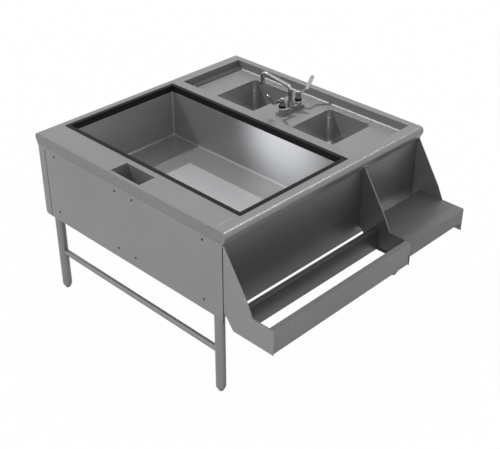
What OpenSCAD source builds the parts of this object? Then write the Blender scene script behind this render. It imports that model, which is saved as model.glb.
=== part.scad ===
// Free-standing cocktail station: ice bin, two sink bowls with a deck tap, a bottle rail and a shelf.
// Millimetres, Z up. The front with the bottle rail faces -Y. The origin is the centre of the footprint on the floor.

/* [Body] */
// Width over the side panels
body_w = 1159; // [1000:1:1400]
// Depth between the front and back faces of the body
body_d = 1091; // [960:1:1250]
// Height of the deck above the floor
deck_h = 762; // [740:1:900]
// Gauge of the sheet steel
sheet_t = 1.5; // [1.2:0.1:1.8]
// Height of the fold along the sides of the deck
apron_h = 50; // [40:1:54]
// Distance from the deck down to the bottom of the side panels
skirt_drop = 381.5; // [375:0.5:400]
// Width of a corner post
post_w = 42; // [38:1:48]
// Setback of the front panel behind the front face
panel_setback = 11; // [8:1:14]
// Distance from the deck down to the lower edge of the front panel
front_panel_drop = 348; // [330:1:360]
// Radius of the rear bottom corner of the rear posts
post_corner_r = 15; // [8:1:20]

/* [Nosing] */
// How far the rolled edge stands out in front of the body
nose_out = 13.5; // [10:0.5:18]
// Height of the rolled edge
nose_h = 55.5; // [50:0.5:60]
// Drop from the deck to the foremost line of the rolled edge
nose_mid = 20; // [16:1:24]
// Radius of the bend below the foremost line
nose_under_r = 20; // [14:1:24]
// Lean of the face under the rolled edge, in degrees
nose_lean = 24; // [18:1:28]
// Distance of the weld line from the front face
seam_y = 45; // [40:1:50]

/* [Ice bin] */
// Left edge of the breaker strip
strip_x = 123.5; // [120:0.5:140]
// Front edge of the breaker strip
strip_y = 35.5; // [32:0.5:40]
// Depth of the deck behind the breaker strip
strip_rear = 28; // [22:1:40]
// Width of the deck between the breaker strip and the recess
divider_w = 50; // [45:1:80]
// Width of the strip's flange
strip_flange = 17; // [14:0.5:20]
// Thickness of the strip
strip_t = 3; // [2:0.5:4]
// Depth of the strip's leg below the deck
strip_drop = 27; // [20:1:34]
// Depth of the bin below the deck
bin_depth = 245; // [200:1:250]
// Radius of the coved corners of the bin
bin_cove_r = 10; // [6:1:16]
// Thickness of the insulation
foam_t = 24; // [15:1:26]
// Outer radius of the bin drain's tailpiece
bin_tail_r = 16.7; // [13:0.1:19]

/* [Side pocket] */
// Left edge of the pocket
pocket_x = 14.5; // [12:0.5:20]
// Width of the pocket
pocket_w = 82; // [60:1:84]
// Length of the pocket along the side
pocket_d = 170; // [120:1:220]
// Depth of the pocket
pocket_h = 110; // [80:1:200]

/* [Sink] */
// Width of the recess
recess_w = 354.5; // [345:0.5:365]
// Width of the deck beside the recess, on its right
recess_side = 32; // [30:0.5:40]
// Front edge of the recess
recess_y = 41; // [36:1:48]
// Depth of the deck behind the recess
recess_rear = 45.5; // [36:0.5:56]
// Drop of the recess below the deck
recess_h = 39.5; // [30:0.5:46]
// Drop of the ledge along the back of the recess
ledge_h = 32; // [20:1:36]
// Width taken by the ledge
ledge_w = 23; // [15:1:30]
// Radius at the foot of the recess walls
recess_r = 7; // [4:0.5:10]
// Width of a bowl from left to right
bowl_w = 280; // [240:1:286]
// Length of a bowl from front to back
bowl_d = 232; // [200:1:240]
// Depth of a bowl below the recess floor
bowl_h = 165; // [140:1:200]
// Corner radius of a bowl
bowl_r = 26; // [16:1:40]
// Width of the flange welded into the recess floor round a bowl
bowl_rim = 16; // [10:1:17]
// Distance between a bowl and the right wall of the recess
bowl_margin = 40.5; // [36:0.5:44]
// Distance of each bowl's centre from the middle of the body
bowl_offset = 228; // [220:1:235]
// Outer radius of a bowl drain's tailpiece
tail_r = 19.05; // [15.9:0.05:19.05]

/* [Tap] */
// Distance between the two valves
valve_pitch = 103; // [100:1:106]
// Length of the base plate
tap_base_w = 154; // [150:1:170]
// Width of the base plate
tap_base_d = 42; // [38:1:50]
// Height of the base plate
tap_base_h = 14; // [10:1:16]
// Height of a lever's blade above the recess floor
lever_h = 69; // [66:1:74]
// Reach of a lever's flat run from its valve
lever_run = 56; // [46:1:60]
// Reach of the bent tip beyond the flat run
tip_run = 39; // [30:1:48]
// Rise of the bent tip
tip_rise = 56; // [40:1:60]
// Radius of the spout tube
spout_r = 9; // [7:0.5:10]
// Height of the riser above the recess floor
riser_h = 116; // [90:1:130]
// Reach of the straight run of the spout
spout_run = 128; // [110:1:140]
// Slope of the straight run, in degrees
spout_slope = 7.5; // [4:0.5:16]
// Radius of the bend at the riser
riser_bend_r = 18; // [15:1:24]
// Radius of the bend over the outlet
outlet_bend_r = 22; // [16:1:26]
// Length of the straight drop at the outlet
outlet_drop = 33; // [24:1:40]

/* [Rail and shelf] */
// How far the rail and the shelf stand out from the front face
rail_out = 251.5; // [230:0.5:270]
// Drop from the deck to the top of the rail and the shelf
rail_top = 296.5; // [280:0.5:300]
// Height of the rail's front
rail_h = 96.5; // [80:0.5:98]
// Width of the hem along the top of the rail's front
hem_w = 28.5; // [20:0.5:34]
// Inner distance from the front of the rail to its back wall
rail_well = 160; // [150:1:170]
// Width of the slot behind the rail's floor
rail_slot = 50; // [30:1:60]
// Width of the flange behind the back wall
rail_flange = 22.5; // [16:0.5:34]
// Width of the shelf's bay, from the middle side plate to the right side
bay_w = 367; // [340:1:400]
// Height of the shelf's apron
shelf_h = 64; // [45:1:70]
// Gap between the shelf and the front face
shelf_gap = 27; // [20:1:36]
// Drop from the deck to the top of the side plates
plate_top = 57.5; // [56:0.5:60]
// Drop from the deck to the bottom of the side plates
plate_drop = 402.5; // [400:0.5:420]
// Gauge of the side plates
plate_t = 2; // [1.5:0.1:3]
// Width of the fold along a side plate's edge
lip_w = 7; // [5:0.5:10]

/* [Legs] */
// Outer radius of a leg
leg_r = 20.65; // [19:0.05:22]
// Distance of a leg's axis from the side of the body
leg_inset_x = 28.7; // [26:0.1:34]
// Distance of a leg's axis from the front or back of the body
leg_inset_y = 50.5; // [46:0.5:60]
// Height of a bullet foot below its leg
foot_h = 25; // [20:1:32]
// Travel of a foot's thread
foot_travel = 25; // [15:1:30]
// Radius of a foot's thread
stem_r = 7.9; // [6:0.1:9]
// Radius of a cross rail
cross_r = 12.7; // [10:0.1:14]
// Height of the cross rails above the floor
cross_z = 196.5; // [150:0.5:240]

/* [Hidden] */

$fn = 64;
// Overrun of every cut
cut = 1;
// Gap between neighbouring sheets
gap = 0.2;
// Gap between a moving piece and what it passes
run_gap = 0.4;
// Radial clearance of a turning or sliding fit
fit = 0.05;
// Steps along each curve of the nosing
nose_steps = 10;

mid_y = body_d / 2;
recess_x = body_w - recess_side - recess_w;
recess_d = body_d - recess_y - recess_rear;
strip_w = recess_x - divider_w - strip_x;
strip_d = body_d - strip_y - strip_rear;
mid_plate_x = body_w - bay_w;
// Centre of the footprint, from the rail's front to the back nosing
foot_y = (body_d + nose_out - rail_out) / 2;

bin_x = strip_x + strip_flange;
bin_y = strip_y + strip_flange;
bin_w = strip_w - 2 * strip_flange;
bin_d = strip_d - 2 * strip_flange;
liner_top = deck_h - strip_drop - gap;
liner_flange = 14;
jacket_t = sheet_t * 2 / 3;
jacket_out = sheet_t + foam_t + gap + jacket_t;
bin_drain_margin = 90;
bin_drain_x = bin_x + bin_drain_margin;
bin_drain_y = bin_y + bin_drain_margin;

tray_z = deck_h - recess_h;
tray_d = recess_d - ledge_w;
bowl_x = recess_x + recess_w - bowl_margin - bowl_w;
near_bowl_y = mid_y - bowl_offset;
far_bowl_y = mid_y + bowl_offset;
bowl_mid_x = bowl_x + bowl_w / 2;
bowl_floor = tray_z - bowl_h;

drain_flange_r = 40;
drain_flange_t = 2.5;
drain_len = 105;
drain_wall = 1.6;
drain_cup_h = 16;
thread_wall = 2;
cup_step = 2;
drain_cup_r = tail_r + cup_step;
drain_hole_r = drain_cup_r + thread_wall;
strainer_slack = 1.5;
strainer_r = drain_cup_r - strainer_slack;
strainer_rim = 6;
strainer_cap_t = 1.5;
strainer_h = 12;
strainer_wall = 1.2;
strainer_hole_r = 2.2;
knob_r = 4;
bin_flange_r = 28;
bin_cup_step = 0.5;
bin_cup_r = bin_tail_r + bin_cup_step;
bin_hole_r = bin_cup_r + thread_wall;
nut_h = 9;

tap_x = bowl_mid_x;
tap_base_r = 12;
tap_base_step = 2;
bonnet_r = 15;
bonnet_skirt_h = 7;
valve_seat_h = 26;
valve_hole_r = 13;
shank_r = 10.3;
shank_tip_r = 9.8;
shank_len = 48;
shank_tip_len = 34;
stem_neck_r = 6;
stem_len = 9;
bonnet_top = 44;
hub_r = 12;
hub_top = 76;
blade_t = 4;
blade_w = 19;
spout_socket_top = 40;
spout_nut_h = 12;
aerator_wall = 1.6;
aerator_h = 13;
aerator_socket = 10;
// The straight tube is a hair thinner than the bends, and runs a little way into them
spout_step = 0.03;
spout_tube_r = spout_r - spout_step;
lap = 0.4;

rail_floor_z = deck_h - rail_top - rail_h;
rail_top_z = deck_h - rail_top;
plate_bottom_z = deck_h - plate_drop;
skirt_z = deck_h - skirt_drop;
base_h = 30;
leg_top = skirt_z + base_h - sheet_t - gap;
leg_wall = 1.6;
insert_h = 40;
foot_tip_r = 8;
foot_round = 4;
foot_shoulder_h = 4;
thread_spare = 4;

// Screw places on a side panel, as shares of the body's depth, and drops from the deck
screw_shares = [0.095, 0.4528, 0.5475, 0.906];
screw_high_drop = 73.5;
screw_low_drop = 336.5;
screw_drops = [screw_high_drop, screw_low_drop];
screw_r = 2;
screw_head_r = 4.6;
screw_head_t = 1.5;
screw_bite = 3;
stiffener_w = 30;
stiffener_d = 8;

steel = "#8b8d90";
bright_steel = "#9fa1a4";
dark_plastic = "#232527";
chrome = "#c9ccd0";
foam = "#e3d9b8";

// Everything is drawn from the body's front left corner on the floor and moved as one
module place() {
    translate([-body_w / 2, -foot_y, 0]) children();
}

// Extrudes a shape drawn in front-to-back and upward coordinates along the width
module along_x(from, to) {
    translate([from, 0, 0]) rotate([90, 0, 90]) linear_extrude(to - from) children();
}

// Mirrors a piece of the left side to the right side
module to_right() {
    translate([body_w, 0, 0]) mirror([1, 0, 0]) children();
}

// Mirrors a piece of the front to the back
module to_back() {
    translate([0, body_d, 0]) mirror([0, 1, 0]) children();
}

module ring(outer_r, inner_r, height) {
    difference() {
        cylinder(r = outer_r, h = height);
        translate([0, 0, -cut]) cylinder(r = inner_r, h = height + 2 * cut);
    }
}

// A box with round vertical corners, made of exact shapes
module round_box(w, d, h, r) {
    translate([r, 0, 0]) cube([w - 2 * r, d, h]);
    translate([0, r, 0]) cube([w, d - 2 * r, h]);
    for (x = [r, w - r], y = [r, d - r]) {
        translate([x, y, 0]) cylinder(r = r, h = h);
    }
}

// A basin below z = 0 with round corners and a coved floor, which rises by `rise` above z = 0
module basin(w, d, h, r, rise) {
    translate([0, 0, r - h]) {
        round_box(w, d, h - r + rise, r);
        translate([r, r, -r]) cube([w - 2 * r, d - 2 * r, r + rise]);
        for (x = [r, w - r]) {
            translate([x, r, 0]) rotate([-90, 0, 0]) cylinder(r = r, h = d - 2 * r);
        }
        for (y = [r, d - r]) {
            translate([r, y, 0]) rotate([0, 90, 0]) cylinder(r = r, h = w - 2 * r);
        }
        for (x = [r, w - r], y = [r, d - r]) {
            translate([x, y, 0]) sphere(r = r);
        }
    }
}

module basin_shell(w, d, h, r, t) {
    difference() {
        translate([-t, -t, 0]) basin(w + 2 * t, d + 2 * t, h + t, r + t, 0);
        basin(w, d, h, r, cut);
    }
}

// Deck

// The rolled edge as points [y, z] below and in front of the deck's top, `inset` inside the sheet's outer face
function nose_under(inset, angle) =
    [nose_under_r - nose_out - (nose_under_r - inset) * cos(angle), -nose_mid - (nose_under_r - inset) * sin(angle)];

function nose_foot(inset) =
    let (bend = nose_under(inset, nose_lean)) [bend[0] + (bend[1] + nose_h) * tan(nose_lean), -nose_h];

function nose_curve(inset) = concat(
    [nose_foot(inset)],
    [for (i = [nose_steps : -1 : 0]) nose_under(inset, nose_lean * i / nose_steps)],
    [for (i = [1 : nose_steps]) let (a = 90 * i / nose_steps)
        [-(nose_out - inset) * cos(a), (nose_mid - inset) * sin(a) - nose_mid]]);

// Section of the deck from the nosing to past the middle
module deck_section() {
    middle = mid_y + cut;
    difference() {
        polygon(concat(nose_curve(0), [[middle, 0], [middle, -nose_h]]));
        polygon(concat(
            [[nose_foot(sheet_t)[0], -nose_h - cut]], nose_curve(sheet_t),
            [[middle + cut, -sheet_t], [middle + cut, -nose_h - cut]]));
    }
}

module deck_end() {
    polygon(concat(nose_curve(0), [[nose_foot(0)[0], 0]]));
    translate([0, -apron_h]) square([mid_y, apron_h]);
}

seam_w = 1.6;
seam_depth = 0.5;

module weld_line() {
    translate([-cut, seam_y, deck_h - seam_depth]) cube([body_w + 2 * cut, seam_w, seam_depth + cut]);
}

module deck_top() {
    opening = strip_t + gap;
    color(steel) place() difference() {
        union() {
            translate([0, 0, deck_h]) {
                along_x(0, body_w) deck_section();
                to_back() along_x(0, body_w) deck_section();
                along_x(0, sheet_t) deck_end();
                along_x(body_w - sheet_t, body_w) deck_end();
                to_back() along_x(0, sheet_t) deck_end();
                to_back() along_x(body_w - sheet_t, body_w) deck_end();
            }
        }
        translate([bin_x - opening, bin_y - opening, deck_h - sheet_t - cut])
            cube([bin_w + 2 * opening, bin_d + 2 * opening, sheet_t + 2 * cut]);
        translate([pocket_x - sheet_t - gap, mid_y - pocket_d / 2 - sheet_t - gap, deck_h - sheet_t - cut])
            cube([pocket_w + 2 * (sheet_t + gap), pocket_d + 2 * (sheet_t + gap), sheet_t + 2 * cut]);
        translate([recess_x - sheet_t - gap, recess_y - sheet_t - gap, deck_h - sheet_t - cut])
            cube([recess_w + 2 * (sheet_t + gap), recess_d + 2 * (sheet_t + gap), sheet_t + 2 * cut]);
        weld_line();
    }
}

// Ice bin

module breaker_strip() {
    rise = strip_t * 2 / 3;
    color(dark_plastic) place() translate([0, 0, deck_h]) difference() {
        union() {
            translate([strip_x, strip_y, gap]) cube([strip_w, strip_d, rise]);
            translate([bin_x - strip_t, bin_y - strip_t, -strip_drop])
                cube([bin_w + 2 * strip_t, bin_d + 2 * strip_t, strip_drop + rise]);
        }
        translate([bin_x, bin_y, -strip_drop - cut]) cube([bin_w, bin_d, strip_drop + rise + 2 * cut]);
    }
}

module ice_bin_liner() {
    color(bright_steel) place() difference() {
        union() {
            translate([bin_x, bin_y, liner_top])
                basin_shell(bin_w, bin_d, bin_depth - strip_drop - gap, bin_cove_r, sheet_t);
            difference() {
                translate([bin_x - liner_flange, bin_y - liner_flange, liner_top - sheet_t])
                    cube([bin_w + 2 * liner_flange, bin_d + 2 * liner_flange, sheet_t]);
                translate([bin_x, bin_y, liner_top - sheet_t - cut])
                    round_box(bin_w, bin_d, sheet_t + 2 * cut, bin_cove_r);
            }
        }
        translate([bin_drain_x, bin_drain_y, deck_h - bin_depth - sheet_t - cut])
            cylinder(r = bin_hole_r + gap, h = sheet_t + 2 * cut);
    }
}

// A box open at the top round the liner, `inner` outside the bin's faces and `t` thick
module bin_box(inner, t, top) {
    floor_z = deck_h - bin_depth - inner - t;
    difference() {
        translate([bin_x - inner - t, bin_y - inner - t, floor_z])
            cube([bin_w + 2 * (inner + t), bin_d + 2 * (inner + t), top - floor_z]);
        translate([bin_x - inner, bin_y - inner, floor_z + t])
            cube([bin_w + 2 * inner, bin_d + 2 * inner, top - floor_z]);
        translate([bin_drain_x, bin_drain_y, floor_z - cut]) cylinder(r = bin_hole_r + gap, h = t + 2 * cut);
    }
}

module bin_insulation() {
    color(foam) place() bin_box(sheet_t + gap, foam_t - gap, liner_top - sheet_t - gap);
}

module bin_jacket() {
    color(steel) place() bin_box(jacket_out - jacket_t, jacket_t, deck_h - sheet_t - gap);
}

// A flanged drain body with a straight tailpiece, its flange's underside at z = 0
module drain_body(flange_r, body_r, tube_r, cup_r, length) {
    bore_r = tube_r - drain_wall;
    thread_len = length / 2;
    difference() {
        union() {
            cylinder(r = flange_r, h = drain_flange_t);
            translate([0, 0, -thread_len]) cylinder(r = body_r, h = thread_len);
            translate([0, 0, -length]) cylinder(r = tube_r, h = length);
        }
        translate([0, 0, -length - cut]) cylinder(r = bore_r, h = length + drain_flange_t + 2 * cut);
        translate([0, 0, -drain_cup_h]) cylinder(r = cup_r, h = drain_cup_h + drain_flange_t + cut);
    }
}

// A six-sided lock nut with a round washer face, its top at z = 0
module lock_nut(bore_r, outer_r) {
    washer_h = nut_h / 4;
    difference() {
        union() {
            translate([0, 0, -washer_h]) cylinder(r = outer_r, h = washer_h);
            translate([0, 0, -nut_h]) cylinder(r = outer_r * 0.97, h = nut_h - washer_h / 2, $fn = 6);
        }
        translate([0, 0, -nut_h - cut]) cylinder(r = bore_r, h = nut_h + 2 * cut);
    }
}

module bin_drain() {
    color(bright_steel) place() translate([bin_drain_x, bin_drain_y, deck_h - bin_depth + gap / 2])
        drain_body(bin_flange_r, bin_hole_r, bin_tail_r, bin_cup_r, drain_len);
}

module bin_drain_nut() {
    color("#3a3c3e") place()
        translate([bin_drain_x, bin_drain_y, deck_h - bin_depth - jacket_out - gap])
            lock_nut(bin_hole_r + fit, bin_flange_r);
}

// Side pocket

module side_pocket() {
    color(steel) place() translate([pocket_x, mid_y - pocket_d / 2, deck_h])
        basin_shell(pocket_w, pocket_d, pocket_h, sheet_t * 2, sheet_t);
}

// Sink tray and bowls

module bowl_place(y) {
    translate([bowl_x, y - bowl_d / 2, tray_z]) children();
}

module tap_holes() {
    for (x = [-valve_pitch / 2, valve_pitch / 2]) {
        translate([tap_x + x, mid_y, tray_z - sheet_t - cut]) cylinder(r = valve_hole_r, h = sheet_t + 2 * cut);
    }
}

// The whole recess with its coved feet, which its sides and ends are parts of
module tray_shape() {
    difference() {
        union() {
            translate([-sheet_t, -sheet_t, -recess_h - sheet_t])
                cube([recess_w + 2 * sheet_t, tray_d + 2 * sheet_t, recess_h + sheet_t]);
            translate([-sheet_t, -sheet_t, -ledge_h - sheet_t])
                cube([recess_w + 2 * sheet_t, recess_d + 2 * sheet_t, ledge_h + sheet_t]);
        }
        intersection() {
            basin(recess_w, recess_d, recess_h, recess_r, cut);
            translate([-cut, -cut, -recess_h - cut]) cube([recess_w + 2 * cut, tray_d + cut, recess_h + 3 * cut]);
        }
        translate([0, tray_d - cut, -ledge_h]) cube([recess_w, ledge_w + cut, ledge_h + cut]);
    }
}

// What lies between the coved feet of the sides, from `from` to `to` along the recess
module tray_middle(from, to) {
    translate([recess_r, from, -2 * recess_h]) cube([recess_w - 2 * recess_r, to - from, 3 * recess_h]);
}

module tray_place() {
    color(steel) place() translate([recess_x, recess_y, deck_h]) children();
}

module sink_tray() {
    difference() {
        tray_place() translate([recess_r, recess_r, -recess_h - sheet_t])
            cube([recess_w - 2 * recess_r, tray_d - recess_r, sheet_t]);
        place() {
            for (y = [near_bowl_y, far_bowl_y]) {
                bowl_place(y) translate([-bowl_rim, -bowl_rim, -sheet_t - cut])
                    cube([bowl_w + 2 * bowl_rim, bowl_d + 2 * bowl_rim, sheet_t + 2 * cut]);
            }
            tap_holes();
        }
    }
}

module tray_sides() {
    tray_place() difference() {
        tray_shape();
        tray_middle(-2 * sheet_t, recess_d + 2 * sheet_t);
    }
}

module tray_ends() {
    tray_place() difference() {
        intersection() {
            tray_shape();
            tray_middle(-2 * sheet_t, recess_d + 2 * sheet_t);
        }
        tray_middle(recess_r, tray_d);
    }
}

module bowl(y) {
    color(bright_steel) place() difference() {
        bowl_place(y) {
            basin_shell(bowl_w, bowl_d, bowl_h, bowl_r, sheet_t);
            difference() {
                translate([-bowl_rim, -bowl_rim, -sheet_t])
                    cube([bowl_w + 2 * bowl_rim, bowl_d + 2 * bowl_rim, sheet_t]);
                translate([0, 0, -sheet_t - cut]) round_box(bowl_w, bowl_d, sheet_t + 2 * cut, bowl_r);
            }
        }
        translate([bowl_mid_x, y, bowl_floor - sheet_t - cut])
            cylinder(r = drain_hole_r + gap, h = sheet_t + 2 * cut);
    }
}

module near_bowl() {
    bowl(near_bowl_y);
}

module far_bowl() {
    bowl(far_bowl_y);
}

module sink_drain(y) {
    color(bright_steel) place() translate([bowl_mid_x, y, bowl_floor + gap / 2])
        drain_body(drain_flange_r, drain_hole_r, tail_r, drain_cup_r, drain_len);
}

module near_drain() {
    sink_drain(near_bowl_y);
}

module far_drain() {
    sink_drain(far_bowl_y);
}

module sink_drain_nut(y) {
    color("#3a3c3e") place() translate([bowl_mid_x, y, bowl_floor - sheet_t - gap])
        lock_nut(drain_hole_r + fit, drain_flange_r);
}

module near_drain_nut() {
    sink_drain_nut(near_bowl_y);
}

module far_drain_nut() {
    sink_drain_nut(far_bowl_y);
}

// A lift-out strainer: a flat cap over the flange, a cup below it and a knob to lift it by
module strainer(y) {
    cap_r = drain_cup_r + strainer_rim;
    hole_ring_r = strainer_r * 0.6;
    bottom = strainer_wall - strainer_h;
    color(chrome) place() translate([bowl_mid_x, y, bowl_floor + gap / 2 + drain_flange_t + run_gap]) {
        difference() {
            union() {
                cylinder(r = cap_r, h = strainer_cap_t);
                translate([0, 0, -strainer_h]) cylinder(r = strainer_r, h = strainer_h);
            }
            translate([0, 0, bottom]) cylinder(r = strainer_r - strainer_wall, h = strainer_h + strainer_cap_t);
            for (a = [0 : 45 : 315]) {
                rotate([0, 0, a]) translate([hole_ring_r, 0, -strainer_h - cut])
                    cylinder(r = strainer_hole_r, h = strainer_wall + 2 * cut);
            }
        }
        translate([0, 0, bottom - strainer_wall / 2]) cylinder(r = knob_r / 2, h = strainer_h + 2 * strainer_cap_t);
        translate([0, 0, 2 * strainer_cap_t - knob_r / 2]) cylinder(r = knob_r, h = knob_r);
    }
}

module near_strainer() {
    strainer(near_bowl_y);
}

module far_strainer() {
    strainer(far_bowl_y);
}

// Tap

module tap_place() {
    place() translate([tap_x, mid_y, tray_z + gap]) children();
}

// The base plate with both valve bodies, their shanks and the socket of the spout
module tap_base() {
    body_r = bonnet_r;
    step = tap_base_step;
    color(chrome) tap_place() difference() {
        union() {
            translate([-tap_base_w / 2, -tap_base_d / 2, 0])
                round_box(tap_base_w, tap_base_d, tap_base_h * 0.6, tap_base_r);
            translate([step - tap_base_w / 2, step - tap_base_d / 2, 0])
                round_box(tap_base_w - 2 * step, tap_base_d - 2 * step, tap_base_h, tap_base_r - step);
            translate([-valve_pitch / 2, 0, valve_seat_h * 0.6]) rotate([0, 90, 0])
                cylinder(r = body_r * 0.6, h = valve_pitch);
            for (x = [-valve_pitch / 2, valve_pitch / 2]) {
                translate([x, 0, 0]) cylinder(r = body_r, h = valve_seat_h);
                translate([x, 0, shank_tip_len - shank_len]) cylinder(r = shank_r, h = shank_len - shank_tip_len + cut);
                translate([x, 0, -shank_len]) cylinder(r = shank_tip_r, h = shank_len);
            }
            cylinder(r = body_r, h = spout_socket_top);
        }
        translate([0, 0, tap_base_h]) cylinder(r = spout_tube_r + fit, h = spout_socket_top);
        for (x = [-valve_pitch / 2, valve_pitch / 2]) {
            translate([x, 0, -shank_len - cut]) cylinder(r = shank_tip_r * 0.7, h = shank_len);
        }
    }
}

module bonnet(x) {
    neck_h = bonnet_top - valve_seat_h - gap;
    color(chrome) tap_place() translate([x, 0, valve_seat_h + gap]) difference() {
        union() {
            cylinder(r = bonnet_r, h = bonnet_skirt_h);
            cylinder(r = bonnet_r * 0.72, h = neck_h);
        }
        translate([0, 0, neck_h / 3]) cylinder(r = stem_neck_r + fit, h = neck_h);
    }
}

module left_bonnet() {
    bonnet(-valve_pitch / 2);
}

module right_bonnet() {
    bonnet(valve_pitch / 2);
}

// A lever with its blade along +X from the valve's axis
module lever() {
    hub_from = bonnet_top + run_gap;
    tip_len = sqrt(pow(tip_run, 2) + pow(tip_rise, 2));
    tip_angle = atan2(tip_rise, tip_run);
    stem_from = bonnet_top - stem_len;
    neck_len = hub_top - stem_from - cut;
    union() {
        translate([0, 0, hub_from]) cylinder(r = hub_r, h = (hub_top - hub_from) * 0.75);
        translate([0, 0, hub_from]) cylinder(r = hub_r * 0.7, h = hub_top - hub_from);
        translate([0, 0, stem_from]) cylinder(r = stem_neck_r, h = neck_len);
        translate([0, -blade_w / 3, lever_h - blade_t]) cube([lever_run, blade_w * 2 / 3, blade_t]);
        translate([lever_run, 0, lever_h - blade_t / 2]) rotate([90, 0, 0])
            translate([0, 0, -blade_w / 2]) cylinder(r = blade_t / 2, h = blade_w);
        translate([lever_run, 0, lever_h - blade_t / 2]) rotate([0, -tip_angle, 0]) {
            translate([0, -blade_w / 2, -blade_t / 2]) cube([tip_len - blade_w / 2, blade_w, blade_t]);
            translate([tip_len - blade_w / 2, 0, -blade_t / 2]) cylinder(r = blade_w / 2, h = blade_t);
        }
    }
}

module left_lever() {
    color(chrome) tap_place() translate([-valve_pitch / 2, 0, 0]) mirror([1, 0, 0]) lever();
}

module right_lever() {
    color(chrome) tap_place() translate([valve_pitch / 2, 0, 0]) lever();
}

module spout_nut() {
    color(chrome) tap_place() translate([0, 0, spout_socket_top + gap])
        ring(bonnet_r * 0.9, spout_r + run_gap, spout_nut_h);
}

// Bends the tube round an axis along X, from pointing up to `turn` degrees towards +Y
module spout_bend(r, turn) {
    translate([0, r, 0]) rotate([90, 0, -90]) rotate_extrude(angle = turn) translate([r, 0]) circle(r = spout_r);
}

module spout() {
    first_turn = 90 - spout_slope;
    second_turn = 90 + spout_slope;
    bend_end = [0, riser_bend_r * (1 - cos(first_turn)), riser_bend_r * sin(first_turn)];
    riser_from = tap_base_h + cut;
    color(chrome) tap_place() {
        translate([0, 0, riser_from]) cylinder(r = spout_tube_r, h = riser_h - riser_bend_r - riser_from + lap);
        translate([0, 0, riser_h - riser_bend_r]) {
            spout_bend(riser_bend_r, first_turn);
            translate(bend_end) rotate([-first_turn, 0, 0]) {
                translate([0, 0, -lap]) cylinder(r = spout_tube_r, h = spout_run + 2 * lap);
                translate([0, 0, spout_run]) {
                    spout_bend(outlet_bend_r, second_turn);
                    translate([0, outlet_bend_r * (1 - cos(second_turn)), outlet_bend_r * sin(second_turn)])
                        rotate([-second_turn, 0, 0]) translate([0, 0, -lap])
                            cylinder(r = spout_tube_r, h = outlet_drop + lap);
                }
            }
        }
    }
}

// The outlet's end in tap coordinates
function spout_reach() =
    let (a = 90 - spout_slope, b = 90 + spout_slope)
    riser_bend_r * (1 - cos(a)) + spout_run * sin(a)
        + outlet_bend_r * (1 - cos(b)) * cos(a) + outlet_bend_r * sin(b) * sin(a);

function spout_end_z() =
    let (a = 90 - spout_slope, b = 90 + spout_slope)
    riser_h - riser_bend_r + riser_bend_r * sin(a) + spout_run * cos(a)
        - outlet_bend_r * (1 - cos(b)) * sin(a) + outlet_bend_r * sin(b) * cos(a) - outlet_drop;

module aerator() {
    color(chrome) tap_place() translate([0, spout_reach(), spout_end_z() - aerator_h + aerator_socket]) difference() {
        cylinder(r = spout_r + aerator_wall, h = aerator_h);
        translate([0, 0, aerator_h - aerator_socket - gap]) cylinder(r = spout_tube_r + fit, h = aerator_h);
        translate([0, 0, -cut]) cylinder(r = spout_r * 0.7, h = aerator_h);
    }
}

module supply_nuts() {
    color(chrome) tap_place() for (x = [-valve_pitch / 2, valve_pitch / 2]) {
        translate([x, 0, -sheet_t - 2 * gap]) lock_nut(shank_r + fit, shank_r * 2);
    }
}

// Body panels

module front_panel() {
    top = deck_h - sheet_t - gap;
    bottom = deck_h - front_panel_drop;
    inset = sheet_t + gap;
    color(steel) place() translate([inset, panel_setback, bottom])
        cube([body_w - 2 * inset, sheet_t, top - bottom]);
}

module back_panel() {
    top = deck_h - nose_h - gap;
    inset = post_w + gap;
    color(steel) place() translate([inset, body_d - sheet_t, skirt_z])
        cube([body_w - 2 * inset, sheet_t, top - skirt_z]);
}

module each_screw() {
    for (share = screw_shares, drop = screw_drops) {
        translate([0, body_d * share, deck_h - drop]) rotate([0, 90, 0]) children();
    }
}

module left_panel_shape() {
    inset = post_w + gap;
    fold_w = leg_inset_x - leg_r - sheet_t;
    top = deck_h - apron_h - gap;
    difference() {
        union() {
            translate([0, inset, skirt_z]) cube([sheet_t, body_d - 2 * inset, top - skirt_z]);
            translate([0, inset, skirt_z]) cube([fold_w, body_d - 2 * inset, sheet_t]);
        }
        each_screw() translate([0, 0, -cut]) cylinder(r = screw_r + fit, h = sheet_t + 2 * cut);
    }
}

module left_panel() {
    color(steel) place() left_panel_shape();
}

module right_panel() {
    color(steel) place() to_right() left_panel_shape();
}

// The side leg of a front post, notched under the nosing
module post_side() {
    top = deck_h - apron_h - gap;
    notch_top = deck_h - nose_h - gap;
    notch_w = max(nose_foot(sheet_t)[0], 0) + 2 * gap;
    translate([0, 0, skirt_z]) cube([sheet_t, post_w, notch_top - skirt_z]);
    translate([0, notch_w, skirt_z]) cube([sheet_t, post_w - notch_w, top - skirt_z]);
}

module front_post_shape() {
    top = deck_h - apron_h - gap;
    leg_w = post_w - sheet_t;
    post_side();
    translate([sheet_t, panel_setback + sheet_t + gap, skirt_z]) cube([leg_w, sheet_t, top - skirt_z]);
}

module rear_post_shape() {
    top = deck_h - nose_h - gap;
    difference() {
        union() {
            to_back() post_side();
            translate([0, body_d - sheet_t, skirt_z]) cube([post_w, sheet_t, top - skirt_z]);
        }
        translate([-cut, body_d - post_corner_r, skirt_z - cut]) difference() {
            cube([sheet_t + 2 * cut, post_corner_r + cut, post_corner_r + cut]);
            translate([-cut, 0, post_corner_r + cut]) rotate([0, 90, 0])
                cylinder(r = post_corner_r, h = sheet_t + 4 * cut);
        }
        translate([sheet_t, body_d - sheet_t - cut, skirt_z - cut])
            cube([post_w, sheet_t + 2 * cut, post_corner_r + cut]);
    }
}

module front_left_post() {
    color(steel) place() front_post_shape();
}

module front_right_post() {
    color(steel) place() to_right() front_post_shape();
}

module rear_left_post() {
    color(steel) place() rear_post_shape();
}

module rear_right_post() {
    color(steel) place() to_right() rear_post_shape();
}

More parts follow.
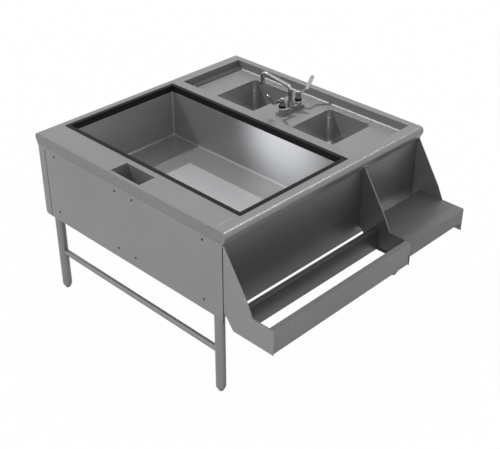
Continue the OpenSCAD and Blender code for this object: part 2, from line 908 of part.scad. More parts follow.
// Hat-shaped stiffeners behind a side panel, where its screws bite
module stiffener_shapes() {
    bottom = skirt_z + base_h + 2 * gap;
    height = deck_h - apron_h - 2 * gap - bottom;
    for (share = screw_shares) {
        translate([sheet_t + gap, body_d * share - stiffener_w / 2, bottom]) difference() {
            cube([stiffener_d, stiffener_w, height]);
            translate([sheet_t, sheet_t, -cut]) cube([stiffener_d, stiffener_w - 2 * sheet_t, height + 2 * cut]);
            for (drop = screw_drops) {
                translate([-cut, stiffener_w / 2, deck_h - drop - bottom]) rotate([0, 90, 0])
                    cylinder(r = screw_r + fit, h = sheet_t + 2 * cut);
            }
        }
    }
}

module left_stiffeners() {
    color(steel) place() stiffener_shapes();
}

module right_stiffeners() {
    color(steel) place() to_right() stiffener_shapes();
}

module screw_shapes() {
    shank = 2 * sheet_t + screw_bite;
    each_screw() {
        translate([0, 0, -screw_head_t - gap / 2]) cylinder(r = screw_head_r, h = screw_head_t);
        translate([0, 0, -screw_head_t / 2]) cylinder(r = screw_r, h = shank);
    }
}

module left_screws() {
    color("#3c3e41") place() screw_shapes();
}

module right_screws() {
    color("#3c3e41") place() to_right() screw_shapes();
}

// Rail and shelf

// Where the sloping edge bends, as shares of the reach and of the height above the rail
plate_bend_shares = [0.46, 0.763];
// Where the sloping edge meets the level edge, and where the lower corner is cut off
plate_step_share = 0.568;
plate_heel_share = 0.195;
plate_corner_share = 0.835;
plate_front = sheet_t + 2 * gap - rail_out;

// Outline of a side plate as [y, z] from the front face and the deck
plate_outline = [
    [0, -plate_top],
    [-rail_out * plate_bend_shares[0], -plate_top - (rail_top - plate_top) * plate_bend_shares[1]],
    [-rail_out * plate_step_share, -rail_top],
    [plate_front, -rail_top],
    [plate_front, -plate_drop],
    [-rail_out * plate_heel_share, -plate_drop],
    [0, -plate_drop * plate_corner_share]];

module plate_sheet(x) {
    along_x(x, x + plate_t) polygon(plate_outline);
}

// The fold along the sloping and level edges, from the top to `end_y` on the level edge
module plate_lip(x, end_y) {
    inward = [plate_t, -plate_t];
    slope = (plate_outline[1][1] - plate_outline[0][1]) / plate_outline[1][0];
    along_x(x, x + lip_w) polygon([
        plate_outline[0], plate_outline[1], plate_outline[2],
        [end_y, -rail_top], [end_y, -rail_top - plate_t],
        plate_outline[2] + inward, plate_outline[1] + inward,
        [0, -plate_top - plate_t * (1 + slope)]]);
}

module left_plate() {
    color(steel) place() translate([0, -gap, deck_h]) {
        plate_sheet(0);
        plate_lip(0, hem_w + 2 * gap - rail_out);
    }
}

module middle_plate() {
    color(steel) place() translate([0, -gap, deck_h]) {
        plate_sheet(mid_plate_x);
        translate([mid_plate_x, -cut, plate_outline[6][1]])
            cube([plate_t, panel_setback + cut, -plate_top - plate_outline[6][1]]);
        plate_lip(mid_plate_x, plate_front);
    }
}

module right_plate() {
    color(steel) place() translate([0, -gap, deck_h]) plate_sheet(body_w - plate_t);
}

// Width of the cut-out at the rail's right end, and of the tabs beside the slot
rail_tab_w = 10;
hem_lip_h = 8;
rail_back_drop = 3;
shelf_fold_h = 18;

module rail_trough() {
    left_end = plate_t + gap;
    right_end = mid_plate_x - gap;
    notch_h = rail_h * 0.44;
    floor_d = rail_well - rail_slot;
    color(steel) place() translate([0, -rail_out, rail_floor_z]) {
        difference() {
            cube([right_end, sheet_t, rail_h]);
            translate([right_end - rail_tab_w, -cut, -cut])
                cube([rail_tab_w + cut, sheet_t + 2 * cut, notch_h + cut]);
        }
        translate([left_end, 0, rail_h - sheet_t]) cube([right_end - left_end, hem_w, sheet_t]);
        translate([left_end, hem_w - sheet_t, rail_h - hem_lip_h])
            cube([right_end - left_end, sheet_t, hem_lip_h]);
        translate([left_end, 0, 0]) cube([right_end - rail_tab_w - left_end, floor_d, sheet_t]);
        for (x = [left_end, right_end - rail_tab_w]) {
            translate([x, floor_d / 2, 0]) cube([rail_tab_w, rail_well - floor_d / 2 - gap, sheet_t]);
        }
    }
}

module rail_back() {
    left_end = plate_t + gap;
    right_end = mid_plate_x - gap;
    height = rail_h + rail_back_drop;
    color(steel) place() translate([left_end, rail_well - rail_out, rail_floor_z - rail_back_drop]) {
        cube([right_end - left_end, sheet_t, height]);
        translate([0, 0, height - sheet_t]) cube([right_end - left_end, rail_flange, sheet_t]);
    }
}

module shelf() {
    left_end = mid_plate_x + lip_w + gap;
    right_end = body_w - plate_t - gap;
    depth = rail_out - shelf_gap;
    // The apron runs on under the side plate's fold
    apron_end = mid_plate_x + plate_t + gap;
    tongue_h = shelf_h - plate_t - gap;
    color(steel) place() translate([0, -rail_out, rail_top_z]) {
        translate([left_end, 0, -sheet_t]) cube([right_end - left_end, depth, sheet_t]);
        translate([left_end, 0, -shelf_h]) cube([right_end - left_end, sheet_t, shelf_h]);
        translate([apron_end, 0, -shelf_h]) cube([right_end - apron_end, sheet_t, tongue_h]);
        translate([left_end, depth - sheet_t, -shelf_fold_h]) cube([right_end - left_end, sheet_t, shelf_fold_h]);
        translate([left_end, 0, -shelf_h]) cube([right_end - left_end, shelf_fold_h, sheet_t]);
        for (x = [left_end, right_end - sheet_t]) {
            translate([x, sheet_t, -shelf_fold_h]) cube([sheet_t, depth - 2 * sheet_t, shelf_fold_h]);
        }
    }
}

// Base and legs

channel_rim = 12;
channel_w = post_w + channel_rim;
socket_wall = 3;
cross_channel_d = 38;
// Setback of the front cross channel behind the front face
front_channel_y = 23;
rear_channel_inset = 70;

module base_channel_shape() {
    from = panel_setback + 2 * sheet_t + 3 * gap;
    to = body_d - sheet_t - gap;
    left = sheet_t + gap;
    lip = base_h - 2 * sheet_t;
    translate([left, from, skirt_z + base_h - sheet_t]) cube([channel_w, to - from, sheet_t]);
    translate([left, from, skirt_z + base_h - lip]) cube([sheet_t, to - from, lip]);
    translate([left + channel_w - sheet_t, from, skirt_z + base_h - lip]) cube([sheet_t, to - from, lip]);
    for (y = [leg_inset_y, body_d - leg_inset_y]) {
        translate([leg_inset_x, y, leg_top + gap - base_h * 0.6]) ring(leg_r + socket_wall, leg_r + fit, base_h * 0.6);
    }
}

module left_base_channel() {
    color(steel) place() base_channel_shape();
}

module right_base_channel() {
    color(steel) place() to_right() base_channel_shape();
}

// Two channels across the body that join the base channels
module cross_channels() {
    from = sheet_t + channel_w + 2 * gap;
    length = body_w - 2 * from;
    color(steel) place() for (y = [front_channel_y, body_d - rear_channel_inset - cross_channel_d]) {
        translate([from, y, skirt_z + base_h - sheet_t]) cube([length, cross_channel_d, sheet_t]);
        for (side_y = [y, y + cross_channel_d - sheet_t]) {
            translate([from, side_y, skirt_z]) cube([length, sheet_t, base_h]);
        }
    }
}

module leg_shape() {
    translate([leg_inset_x, leg_inset_y, foot_h]) difference() {
        cylinder(r = leg_r, h = leg_top - foot_h);
        translate([0, 0, insert_h]) cylinder(r = leg_r - leg_wall, h = leg_top);
        translate([0, 0, -cut]) cylinder(r = stem_r + fit, h = insert_h + 2 * cut);
    }
}

module front_left_leg() {
    color(bright_steel) place() leg_shape();
}

module front_right_leg() {
    color(bright_steel) place() to_right() leg_shape();
}

module rear_left_leg() {
    color(bright_steel) place() to_back() leg_shape();
}

module rear_right_leg() {
    color(bright_steel) place() to_back() to_right() leg_shape();
}

// A round rail between two legs of one side, coped to fit them
module cross_rail_shape() {
    span = body_d - 2 * leg_inset_y;
    difference() {
        translate([leg_inset_x, leg_inset_y + leg_r / 2, cross_z]) rotate([-90, 0, 0])
            cylinder(r = cross_r, h = span - leg_r);
        for (y = [leg_inset_y, body_d - leg_inset_y]) {
            translate([leg_inset_x, y, cross_z - 2 * cross_r]) cylinder(r = leg_r + gap, h = 4 * cross_r);
        }
    }
}

module left_cross_rail() {
    color(bright_steel) place() cross_rail_shape();
}

module right_cross_rail() {
    color(bright_steel) place() to_right() cross_rail_shape();
}

// Half section of a bullet foot: a rounded tip, a tapering side and the thread
module foot_shape() {
    thread_top = foot_h + insert_h + foot_travel - thread_spare;
    top = foot_h - run_gap;
    translate([leg_inset_x, leg_inset_y, 0]) rotate_extrude() {
        polygon([
            [0, 0], [foot_tip_r, 0], [foot_tip_r + foot_round * 0.7, foot_round * 0.3],
            [foot_tip_r + foot_round, foot_round], [leg_r * 0.97, top - foot_shoulder_h], [leg_r, top], [stem_r, top],
            [stem_r, thread_top - cut], [stem_r - cut, thread_top], [0, thread_top]]);
    }
}

module front_left_foot() {
    color("#6f7174") place() foot_shape();
}

module front_right_foot() {
    color("#6f7174") place() to_right() foot_shape();
}

module rear_left_foot() {
    color("#6f7174") place() to_back() foot_shape();
}

module rear_right_foot() {
    color("#6f7174") place() to_back() to_right() foot_shape();
}

deck_top();
breaker_strip();
ice_bin_liner();
bin_insulation();
bin_jacket();
bin_drain();
bin_drain_nut();
side_pocket();
sink_tray();
tray_sides();
tray_ends();
near_bowl();
far_bowl();
near_drain();
far_drain();
near_drain_nut();
far_drain_nut();
near_strainer();
far_strainer();
tap_base();
left_bonnet();
right_bonnet();
left_lever();
right_lever();
spout_nut();
spout();
aerator();
supply_nuts();
front_panel();
back_panel();
left_panel();
right_panel();
front_left_post();
front_right_post();
rear_left_post();
rear_right_post();
left_stiffeners();
right_stiffeners();
left_screws();
right_screws();
left_plate();
middle_plate();
right_plate();
rail_trough();
rail_back();
shelf();
left_base_channel();
right_base_channel();
cross_channels();
front_left_leg();
front_right_leg();
rear_left_leg();
rear_right_leg();
left_cross_rail();
right_cross_rail();
front_left_foot();
front_right_foot();
rear_left_foot();
rear_right_foot();
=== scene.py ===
"""Finishes for the bar station with ice bin: brushed sheet, drawn steel, chrome tap and soft studio light.

Metres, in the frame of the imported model: +X towards the bowls, -Y towards the bottle rail, +Z up.
"""

import math

import bmesh
import bpy
from mathutils import Matrix, Vector


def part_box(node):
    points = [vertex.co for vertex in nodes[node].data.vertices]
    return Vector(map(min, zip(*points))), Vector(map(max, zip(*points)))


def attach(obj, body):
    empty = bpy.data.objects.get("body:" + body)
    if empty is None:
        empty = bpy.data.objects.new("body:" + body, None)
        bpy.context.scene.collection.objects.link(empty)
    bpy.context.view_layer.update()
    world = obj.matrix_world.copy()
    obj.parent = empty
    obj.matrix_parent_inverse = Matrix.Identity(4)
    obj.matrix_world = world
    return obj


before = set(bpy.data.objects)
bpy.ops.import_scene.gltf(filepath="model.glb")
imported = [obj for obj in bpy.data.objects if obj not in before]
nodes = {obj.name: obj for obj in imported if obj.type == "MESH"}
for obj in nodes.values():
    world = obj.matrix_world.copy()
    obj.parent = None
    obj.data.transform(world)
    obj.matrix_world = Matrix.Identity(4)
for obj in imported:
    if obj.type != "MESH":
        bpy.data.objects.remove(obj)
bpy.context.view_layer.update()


# Helpers for meshes

SMOOTH_ANGLE = math.radians(35)
TURNED_STEPS = 48
DOME_STEPS = 8
DOME_SKIRT = 0.0008


def new_object(name, mesh, material):
    piece = bpy.data.objects.new(name, mesh)
    bpy.context.scene.collection.objects.link(piece)
    mesh.materials.append(material)
    return piece


def smooth_piece(name, shape, material):
    """An object from a bmesh, shaded smooth apart from its sharp edges."""
    mesh = bpy.data.meshes.new(name)
    shape.to_mesh(mesh)
    shape.free()
    piece = new_object(name, mesh, material)
    mesh.shade_smooth()
    for edge in mesh.edges:
        edge.use_edge_sharp = False
    mesh.set_sharp_from_angle(angle=SMOOTH_ANGLE)
    return piece


def lathe(name, outline, material):
    """A turned piece about Z from (radius, height) points, closed at the top if the last radius is zero."""
    shape = bmesh.new()
    rings = []
    for radius, height in outline:
        if radius == 0:
            rings.append([shape.verts.new((0, 0, height))])
            continue
        ring = []
        for step in range(TURNED_STEPS):
            angle = 2 * math.pi * step / TURNED_STEPS
            ring.append(shape.verts.new((radius * math.cos(angle), radius * math.sin(angle), height)))
        rings.append(ring)
    for low, high in zip(rings, rings[1:]):
        for step in range(TURNED_STEPS):
            after = (step + 1) % TURNED_STEPS
            if len(high) == 1:
                shape.faces.new((low[step], low[after], high[0]))
            else:
                shape.faces.new((low[step], low[after], high[after], high[step]))
    bmesh.ops.recalc_face_normals(shape, faces=shape.faces)
    return smooth_piece(name, shape, material)


def bead(name, low, high, material, rounding):
    """A thin strip with rounded edges between two corners."""
    shape = bmesh.new()
    bmesh.ops.create_cube(shape, size=1)
    for corner in shape.verts:
        for axis in range(3):
            middle = (low[axis] + high[axis]) / 2
            corner.co[axis] = middle + corner.co[axis] * (high[axis] - low[axis])
    bmesh.ops.bevel(shape, geom=shape.edges[:], offset=rounding, segments=2, profile=0.5, affect="EDGES")
    return smooth_piece(name, shape, material)


def band(radius, low, high, proud):
    """Outline of a rounded band that stands proud of a cylinder."""
    inside = radius - 0.001
    shoulder = radius + proud * 0.6
    crest = radius + proud
    edge = (high - low) * 0.25
    return [(inside, low), (shoulder, low), (crest, low + edge),
            (crest, high - edge), (shoulder, high), (inside, high)]


def dome(radius, base, height):
    """Outline of a shallow dome with a short skirt under its base."""
    outline = [(radius, base - DOME_SKIRT), (radius, base)]
    for step in range(1, DOME_STEPS):
        angle = math.pi / 2 * step / DOME_STEPS
        outline.append((radius * math.cos(angle), base + height * math.sin(angle)))
    return outline + [(0, base + height)]


# Materials

class Nodes:
    """Short calls for building a material's node tree."""

    def __init__(self, name):
        self.material = bpy.data.materials.new(name)
        self.material.use_nodes = True
        self.tree = self.material.node_tree
        self.shader = self.tree.nodes["Principled BSDF"]
        self.coords = self.tree.nodes.new("ShaderNodeTexCoord").outputs["Object"]

    def link(self, source, target):
        self.tree.links.new(source, target)

    def stretched(self, scale):
        mapping = self.tree.nodes.new("ShaderNodeMapping")
        mapping.inputs["Scale"].default_value = scale
        self.link(self.coords, mapping.inputs["Vector"])
        return mapping.outputs["Vector"]

    def noise(self, scale, detail=3.0, stretch=(1, 1, 1)):
        texture = self.tree.nodes.new("ShaderNodeTexNoise")
        texture.inputs["Scale"].default_value = scale
        texture.inputs["Detail"].default_value = detail
        self.link(self.stretched(stretch), texture.inputs["Vector"])
        return texture.outputs["Fac"]

    def spread(self, value, low, high, from_low=0.3, from_high=0.7):
        """Maps a value to a new range. Unless told otherwise, it comes from a noise's usual range."""
        mapped = self.tree.nodes.new("ShaderNodeMapRange")
        mapped.inputs["From Min"].default_value = from_low
        mapped.inputs["From Max"].default_value = from_high
        mapped.inputs["To Min"].default_value = low
        mapped.inputs["To Max"].default_value = high
        self.link(value, mapped.inputs["Value"])
        return mapped.outputs["Result"]

    def blend(self, factor, first, second):
        """Mixes two colours, each a plain one or another node's."""
        mix = self.tree.nodes.new("ShaderNodeMix")
        mix.data_type = "RGBA"
        for colour, socket in ((first, mix.inputs["A"]), (second, mix.inputs["B"])):
            if isinstance(colour, tuple):
                socket.default_value = colour
            else:
                self.link(colour, socket)
        self.link(factor, mix.inputs["Factor"])
        return mix.outputs["Result"]

    def rounded(self, radius):
        """Normals bent round the edges, as if each had a small radius."""
        node = self.tree.nodes.new("ShaderNodeBevel")
        node.samples = 6
        node.inputs["Radius"].default_value = radius
        return node.outputs["Normal"]

    def painted_edge_mask(self, rounded):
        """Mask for the painted edge light: one near an edge, where the rounded normal leaves the face's own
        normal, and zero on the flat.
        """
        flat = self.tree.nodes.new("ShaderNodeNewGeometry").outputs["Normal"]
        match = self.tree.nodes.new("ShaderNodeVectorMath")
        match.operation = "DOT_PRODUCT"
        self.link(rounded, match.inputs[0])
        self.link(flat, match.inputs[1])
        return self.spread(match.outputs["Value"], 1, 0, from_low=0.8, from_high=0.99)

    def above(self, height):
        """One where the surface is higher than the given height in metres, and zero below it."""
        parts = self.tree.nodes.new("ShaderNodeSeparateXYZ")
        self.link(self.coords, parts.inputs["Vector"])
        return self.spread(parts.outputs["Z"], 0, 1, from_low=height - 0.0005, from_high=height + 0.0005)

    def bump(self, height, strength, distance, rounded=None):
        node = self.tree.nodes.new("ShaderNodeBump")
        node.inputs["Strength"].default_value = strength
        node.inputs["Distance"].default_value = distance
        self.link(height, node.inputs["Height"])
        if rounded:
            self.link(rounded, node.inputs["Normal"])
        self.link(node.outputs["Normal"], self.shader.inputs["Normal"])


def grey(tone):
    """A steel grey, a trace cooler than neutral."""
    return (tone, tone, tone * 1.01, 1)


def neutral(tone):
    return (tone, tone, tone, 1)


ALL_WAYS = (1, 1, 1)
ALONG_X = (0.02, 1, 1)
ALONG_Y = (1, 0.02, 1)
ALONG_Z = (1, 1, 0.02)

TRAY_TONE = 0.185
TRAY_METAL = 0.15
FLANGE_HEIGHT = 0.7215


def brushed_steel(name, tone, rough, grain=ALL_WAYS, metal=0.6, radius=0.0015, painted_edge_tone=1.25, flange_from=None):
    """Sheet with fine lines along the axis whose grain factor is small, soft patches and rounded edges with
    painted light.

    The rounded edges have the tone times the edge factor: a painted highlight where it is above one, painted
    shade where it is below one. Above the height flange_from the sheet looks like the tray.
    """
    kit = Nodes(name)
    lines = kit.noise(scale=1600, detail=2.0, stretch=grain)
    patches = kit.spread(kit.noise(scale=3.1), 0, 1)
    rounded = kit.rounded(radius)
    sheet = kit.blend(patches, grey(tone * 0.96), grey(tone * 1.04))
    kit.shader.inputs["Metallic"].default_value = metal
    if flange_from:
        on_flange = kit.above(flange_from)
        sheet = kit.blend(on_flange, sheet, grey(TRAY_TONE))
        flange_metal = kit.spread(on_flange, metal, TRAY_METAL, from_low=0, from_high=1)
        kit.link(flange_metal, kit.shader.inputs["Metallic"])
    # Painted light on the rounded edges, blended in by the edge mask.
    kit.link(kit.blend(kit.painted_edge_mask(rounded), sheet, grey(tone * painted_edge_tone)), kit.shader.inputs["Base Color"])
    kit.shader.inputs["Specular IOR Level"].default_value = 0.2
    kit.link(kit.spread(lines, rough - 0.03, rough + 0.03), kit.shader.inputs["Roughness"])
    kit.bump(lines, strength=0.025, distance=0.0001, rounded=rounded)
    return kit.material


def chrome_plate(name, tone):
    """Polished plate whose colour darkens towards its outline: a painted dark reflection, like chrome shows
    in a room with dark corners.
    """
    kit = Nodes(name)
    smudge = kit.noise(scale=38, detail=4.0)
    facing = kit.tree.nodes.new("ShaderNodeLayerWeight")
    facing.inputs["Blend"].default_value = 0.5
    front = kit.blend(kit.spread(smudge, 0, 1), grey(tone * 0.92), grey(tone * 1.08))
    painted_dark_outline = kit.spread(facing.outputs["Facing"], 0, 1, from_low=0.35, from_high=0.75)
    # Painted dark reflection: the colour goes nearly black where the surface turns away from view.
    kit.link(kit.blend(painted_dark_outline, front, grey(tone * 0.12)), kit.shader.inputs["Base Color"])
    kit.shader.inputs["Metallic"].default_value = 1
    kit.link(kit.spread(smudge, 0.04, 0.1), kit.shader.inputs["Roughness"])
    kit.bump(kit.noise(scale=160, detail=2.0), strength=0.03, distance=0.0002)
    return kit.material


def moulded_plastic(name, tone, rough):
    """Matt plastic with a fine grain and faint cloudy patches."""
    kit = Nodes(name)
    grain = kit.noise(scale=900, detail=2.0)
    cloud = kit.noise(scale=14)
    colour = kit.blend(kit.spread(cloud, 0, 1), neutral(tone * 0.8), neutral(tone * 1.25))
    kit.link(colour, kit.shader.inputs["Base Color"])
    kit.shader.inputs["Specular IOR Level"].default_value = 0.1
    kit.link(kit.spread(cloud, rough - 0.05, rough + 0.06), kit.shader.inputs["Roughness"])
    kit.bump(grain, strength=0.12, distance=0.0002)
    return kit.material


def rigid_foam(name):
    """Yellowish foam with small open cells."""
    kit = Nodes(name)
    cells = kit.noise(scale=240, detail=4.0)
    kit.link(kit.blend(cells, (0.58, 0.5, 0.33, 1), (0.72, 0.64, 0.45, 1)), kit.shader.inputs["Base Color"])
    kit.shader.inputs["Roughness"].default_value = 0.85
    kit.bump(cells, strength=0.6, distance=0.001)
    return kit.material


# The deck's edge factor paints a highlight along the nosing and the deck's edges.
deck_steel = brushed_steel("deck_steel", tone=0.26, rough=0.3, grain=ALONG_Y, radius=0.009, painted_edge_tone=1.35)
# Lighter than the deck, to paint the light falling on the sides.
side_steel = brushed_steel("side_steel", tone=0.31, rough=0.4, grain=ALONG_Y)
# Darker than the deck, to paint the shade on the rail's front faces.
rail_steel = brushed_steel("rail_steel", tone=0.24, rough=0.35, grain=ALONG_X)
# Darker still, to paint the shade in the bay behind the rail and under the deck.
panel_steel = brushed_steel("panel_steel", tone=0.19, rough=0.36, grain=ALONG_X, metal=0.75)
tray_steel = brushed_steel("tray_steel", TRAY_TONE, rough=0.35, grain=ALONG_Y, metal=TRAY_METAL)
liner_steel = brushed_steel("liner_steel", tone=0.35, rough=0.3, grain=ALONG_Y, metal=0.5)
drawn_steel = brushed_steel("drawn_steel", tone=0.36, rough=0.25, flange_from=FLANGE_HEIGHT)
# Darker than the deck though it faces up, to paint the shade on the shelf.
shelf_steel = brushed_steel("shelf_steel", tone=0.2, rough=0.5, grain=ALONG_X)
# As dark as the panel, to paint the shade in the bay; its edges get painted shade too.
plate_steel = brushed_steel("plate_steel", tone=0.19, rough=0.35, grain=ALONG_X, painted_edge_tone=0.9)
pocket_steel = brushed_steel("pocket_steel", tone=0.33, rough=0.3, metal=0.5)
tube_steel = brushed_steel("tube_steel", tone=0.3, rough=0.32, grain=ALONG_Z)
foot_steel = brushed_steel("foot_steel", tone=0.3, rough=0.4)
screw_steel = brushed_steel("screw_steel", tone=0.08, rough=0.4)
chrome = chrome_plate("tap_chrome", tone=0.42)
# Near-black chrome that paints the shade round the valves.
valve_shadow = chrome_plate("valve_groove", tone=0.03)
# Brighter copy of the tap's chrome that paints highlights on the valve rings, hub caps and strainer domes.
highlight_chrome = chrome_plate("highlight_chrome", tone=0.8)
black_plastic = moulded_plastic("strip_plastic", tone=0.014, rough=0.5)
nut_plastic = moulded_plastic("nut_plastic", tone=0.03, rough=0.5)
# Near-black plastic for strips that paint the shade in the side joints.
seam_shade = moulded_plastic("seam_shade", tone=0.03, rough=0.6)
foam = rigid_foam("bin_foam")


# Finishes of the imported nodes

BOWL_NODES = ["near_bowl", "far_bowl"]
TRAY_NODES = ["sink_tray", "tray_sides", "tray_ends"]
TAP_NODES = ["tap_base", "left_bonnet", "right_bonnet", "left_lever", "right_lever",
             "spout_nut", "spout", "aerator"]
SIDE_NODES = ["left_panel", "right_panel", "left_plate", "right_plate",
              "front_left_post", "rear_left_post", "front_right_post", "rear_right_post"]

FINISHES = [
    (black_plastic, ["breaker_strip"]),
    (foam, ["bin_insulation"]),
    (liner_steel, ["ice_bin_liner"]),
    (drawn_steel, BOWL_NODES + ["near_drain", "far_drain", "bin_drain"]),
    (chrome, TAP_NODES + ["near_strainer", "far_strainer", "supply_nuts"]),
    (side_steel, SIDE_NODES),
    (panel_steel, ["front_panel", "cross_channels", "rail_back"]),
    (tray_steel, TRAY_NODES),
    (rail_steel, ["rail_trough"]),
    (shelf_steel, ["shelf"]),
    (plate_steel, ["middle_plate"]),
    (pocket_steel, ["side_pocket"]),
]
FINISHES_BY_ENDING = [
    (nut_plastic, "drain_nut"),
    (foot_steel, "_foot"),
    (screw_steel, "_screws"),
    (tube_steel, "_leg"),
    (tube_steel, "cross_rail"),
]


def material_of(name):
    for material, names in FINISHES:
        if name in names:
            return material
    for material, ending in FINISHES_BY_ENDING:
        if name.endswith(ending):
            return material
    return deck_steel


for name, node in nodes.items():
    node.data.materials.clear()
    node.data.materials.append(material_of(name))


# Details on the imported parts

# Each band's material, how far its low and high edge lie under the bonnet's top, and how far it stands proud
VALVE_BANDS = {
    # A near-black band that paints the shade under the bonnet's top
    "_valve_shade_band": (valve_shadow, 0.009, 0.001, 0.0006),
    # A ring in the brighter chrome that paints a highlight
    "_valve_ring": (highlight_chrome, 0.017, 0.0115, 0.0015),
}
HUB_RISE = 0.0408
HUB_CAP_RADIUS = 0.00864
KNOB_DOME_RADIUS = 0.0055
DOME_HEIGHT = 0.003
SEAM_PROUD = 0.0005
SEAM_ROUNDING = 0.0003
PLATE_SEAM_HALF_WIDTH = 0.00208
POST_SEAM_HALF_WIDTH = 0.0013


def finished(piece, body):
    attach(piece, body)


def turned(name, spot, outline, material, body):
    """A turned piece with its axis upright over a spot, its heights counted from there."""
    piece = lathe(name, outline, material)
    piece.data.transform(Matrix.Translation(spot))
    finished(piece, body)


def axis_of(low, high):
    """The point on the floor under the middle of a box."""
    return ((low[0] + high[0]) / 2, (low[1] + high[1]) / 2, 0)


def dress_valve(side):
    """A near-black band of painted shade and a ring of painted highlight round a valve, and a domed cap in
    the highlight chrome on its lever's hub.
    """
    low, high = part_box(side + "_bonnet")
    spot = axis_of(low, high)
    radius = (high[0] - low[0]) / 2
    for ending, (material, low_depth, high_depth, proud) in VALVE_BANDS.items():
        outline = band(radius, high[2] - low_depth, high[2] - high_depth, proud)
        turned(side + ending, spot, outline, material, "station")
    hub_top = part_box(side + "_lever")[0][2] + HUB_RISE
    cap = dome(HUB_CAP_RADIUS, hub_top, DOME_HEIGHT)
    # The hub's cap is in the brighter chrome that paints a highlight.
    turned(side + "_hub_cap", spot, cap, highlight_chrome, side + "_lever")


def dress_strainer(side):
    """Polished dome over the strainer's knob, in the brighter chrome that paints a highlight."""
    strainer = side + "_strainer"
    low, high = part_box(strainer)
    knob = dome(KNOB_DOME_RADIUS, high[2], DOME_HEIGHT)
    turned(strainer + "_dome", axis_of(low, high), knob, highlight_chrome, strainer)


def add_seams():
    """Dark strips along the joints between the side sheets, the corner posts and the side plates: the joints
    are real, their darkness is painted shade.
    """
    side_low, side_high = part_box("left_panel")
    plate_low, plate_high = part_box("left_plate")
    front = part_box("front_left_post")[0][1]
    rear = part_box("rear_left_post")[0][1]
    seams = {"plate": (front, plate_low[2] + 0.006, plate_high[2] - 0.002, PLATE_SEAM_HALF_WIDTH),
             "rear_post": (rear, side_low[2] + 0.004, side_high[2] - 0.012, POST_SEAM_HALF_WIDTH)}
    outside = {"left": side_low[0], "right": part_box("right_panel")[1][0]}
    for side, face in outside.items():
        for name, (y, bottom, top, half_width) in seams.items():
            low = (face - SEAM_PROUD, y - half_width, bottom)
            high = (face + SEAM_PROUD, y + half_width, top)
            seam = bead(side + "_" + name + "_seam", low, high, seam_shade, SEAM_ROUNDING)
            finished(seam, "station")


for side in ("left", "right"):
    dress_valve(side)
for side in ("near", "far"):
    dress_strainer(side)
add_seams()


# Camera, at the photograph's place

CAMERA_SPOT = (-2.558, -2.4969, 2.5927)
CAMERA_LOOK = (0.6056, 0.5924, -0.5314)


def add_camera():
    data = bpy.data.cameras.new("photo_camera")
    data.lens = 70.81
    data.sensor_width = 36
    data.clip_start = 0.05
    data.clip_end = 60
    camera = bpy.data.objects.new("photo_camera", data)
    bpy.context.scene.collection.objects.link(camera)
    camera.location = CAMERA_SPOT
    camera.rotation_mode = "QUATERNION"
    camera.rotation_quaternion = Vector(CAMERA_LOOK).to_track_quat("-Z", "Y")
    bpy.context.scene.camera = camera


# World and floor

ROOM_LIGHT = 0.6
FLOOR_REACH = 9
FLOOR_WHITE_TO_CAMERA = 0.98
FLOOR_WHITE_IN_GLOSS = 0.1


def seen_directly(tree):
    """A factor of one for rays that show the background: to the camera, in gloss and through glass."""
    path = tree.nodes.new("ShaderNodeLightPath")
    factor = path.outputs["Is Camera Ray"]
    for ray in ("Is Glossy Ray", "Is Transmission Ray"):
        larger = tree.nodes.new("ShaderNodeMath")
        larger.operation = "MAXIMUM"
        tree.links.new(factor, larger.inputs[0])
        tree.links.new(path.outputs[ray], larger.inputs[1])
        factor = larger.outputs["Value"]
    return factor


def mix_shaders(tree, factor, first, second):
    """Mixes two shaders by a number or by another node's value."""
    mix = tree.nodes.new("ShaderNodeMixShader")
    if isinstance(factor, float):
        mix.inputs["Fac"].default_value = factor
    else:
        tree.links.new(factor, mix.inputs["Fac"])
    tree.links.new(first, mix.inputs[1])
    tree.links.new(second, mix.inputs[2])
    return mix.outputs["Shader"]


def add_world():
    """An even grey room for the light, white where it is seen."""
    world = bpy.data.worlds.new("studio")
    bpy.context.scene.world = world
    world.use_nodes = True
    tree = world.node_tree
    room = tree.nodes["Background"]
    room.inputs["Color"].default_value = neutral(ROOM_LIGHT)
    room.inputs["Strength"].default_value = 1.0
    white = tree.nodes.new("ShaderNodeBackground")
    white.inputs["Color"].default_value = neutral(1)
    shown = mix_shaders(tree, seen_directly(tree), room.outputs["Background"], white.outputs["Background"])
    tree.links.new(shown, tree.nodes["World Output"].inputs["Surface"])


def add_floor():
    """White to the eye with a trace of the object's shadow, darker under the object in its reflections."""
    mesh = bpy.data.meshes.new("floor")
    corners = [(-FLOOR_REACH, -FLOOR_REACH, 0), (FLOOR_REACH, -FLOOR_REACH, 0),
               (FLOOR_REACH, FLOOR_REACH, 0), (-FLOOR_REACH, FLOOR_REACH, 0)]
    mesh.from_pydata(corners, [], [(0, 1, 2, 3)])
    kit = Nodes("floor_white")
    kit.shader.inputs["Base Color"].default_value = neutral(0.85)
    kit.shader.inputs["Roughness"].default_value = 0.8
    white = kit.tree.nodes.new("ShaderNodeEmission").outputs["Emission"]
    path = kit.tree.nodes.new("ShaderNodeLightPath")
    lit = kit.shader.outputs["BSDF"]
    reflected = mix_shaders(kit.tree, FLOOR_WHITE_IN_GLOSS, lit, white)
    plain = mix_shaders(kit.tree, path.outputs["Is Glossy Ray"], lit, reflected)
    shown = mix_shaders(kit.tree, FLOOR_WHITE_TO_CAMERA, lit, white)
    surface = mix_shaders(kit.tree, path.outputs["Is Camera Ray"], plain, shown)
    kit.link(surface, kit.tree.nodes["Material Output"].inputs["Surface"])
    new_object("floor", mesh, kit.material)


# Lamps

LEFT_REAR = (-0.29, 0.68, 1.0)
RIGHT_REAR = (0.563, 1.03, 1.0)
OVERHEAD = (-0.12, -0.1, 1.0)
RIGHT_ABOVE = (0.606, -0.026, 0.795)
COOL_WHITE = (0.95, 0.97, 1.0)


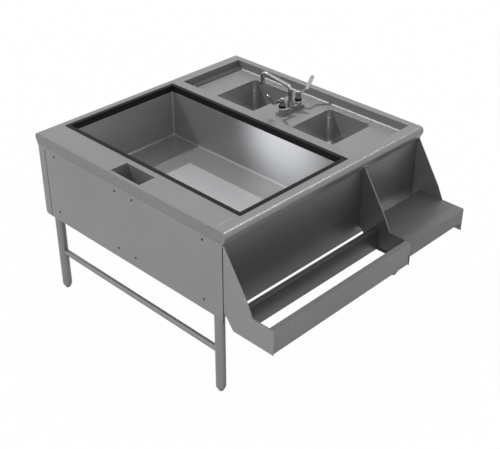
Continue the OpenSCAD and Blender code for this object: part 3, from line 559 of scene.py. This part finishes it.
def add_sun(name, direction, strength, spread):
    """A lamp far away in the given direction, with shadows as soft as its spread in degrees."""
    data = bpy.data.lights.new(name, "SUN")
    data.energy = strength
    data.angle = math.radians(spread)
    lamp = bpy.data.objects.new(name, data)
    bpy.context.scene.collection.objects.link(lamp)
    lamp.rotation_mode = "QUATERNION"
    lamp.rotation_quaternion = Vector(direction).to_track_quat("Z", "Y")
    return lamp


def add_spot(name, spot, target, power, cone):
    """A lamp with a soft-edged cone, its full angle in degrees, aimed from one point to another."""
    data = bpy.data.lights.new(name, "SPOT")
    data.energy = power
    data.spot_size = math.radians(cone)
    data.spot_blend = 1
    data.shadow_soft_size = 0.08
    lamp = bpy.data.objects.new(name, data)
    bpy.context.scene.collection.objects.link(lamp)
    lamp.location = spot
    lamp.rotation_mode = "QUATERNION"
    lamp.rotation_quaternion = (Vector(target) - Vector(spot)).to_track_quat("-Z", "Y")
    return lamp


def light_only(lamps, pieces):
    """Lets the lamps fall only on the given pieces.

    Every lamp and every piece is in just one such group. Where a lamp reaches several groups, Cycles leaves
    it out of some of them, and not of the same ones each run.
    """
    group = bpy.data.collections.new(lamps[0].name + "_receivers")
    for piece in pieces:
        group.objects.link(piece)
    for lamp in lamps:
        lamp.light_linking.receiver_collection = group


def add_lamps():
    """Lamps for the sink zone, the bin, the deck and all the rest, each kind on its own pieces only."""
    key_light = add_sun("key_light", LEFT_REAR, strength=1.3, spread=2.5)
    deck_light = add_sun("deck_light", LEFT_REAR, strength=1.3, spread=2.5)
    basin_light = add_sun("basin_light", LEFT_REAR, strength=3.4, spread=2.0)
    corner_light = add_sun("corner_light", OVERHEAD, strength=0.5, spread=7)
    bin_light = add_sun("bin_light", RIGHT_REAR, strength=4.8, spread=1.5)
    bin_fill = add_sun("bin_fill", LEFT_REAR, strength=1.9, spread=1.5)
    wall_glow = add_spot("wall_glow", spot=(-0.5, 0.02, 1.0), target=(0.152, -0.06, 0.74), power=62, cone=44)
    nosing_light = add_sun("nosing_light", RIGHT_ABOVE, strength=0.6, spread=8)
    for lamp in (key_light, deck_light, bin_light, bin_fill, wall_glow):
        lamp.visible_glossy = False
    for lamp in (bin_light, wall_glow):
        lamp.data.color = COOL_WHITE
    sink_zone = [nodes[name] for name in BOWL_NODES + TRAY_NODES + TAP_NODES]
    bin_zone = [nodes["ice_bin_liner"], nodes["side_pocket"]]
    deck = [nodes["deck_top"]]
    meshes = [piece for piece in bpy.context.scene.objects if piece.type == "MESH"]
    light_only([basin_light, corner_light], sink_zone)
    light_only([bin_light, bin_fill, wall_glow], bin_zone)
    light_only([deck_light, nosing_light], deck)
    light_only([key_light], [piece for piece in meshes if piece not in sink_zone + bin_zone + deck])


add_camera()
add_world()
add_floor()
add_lamps()

bpy.context.scene.view_settings.view_transform = "Standard"
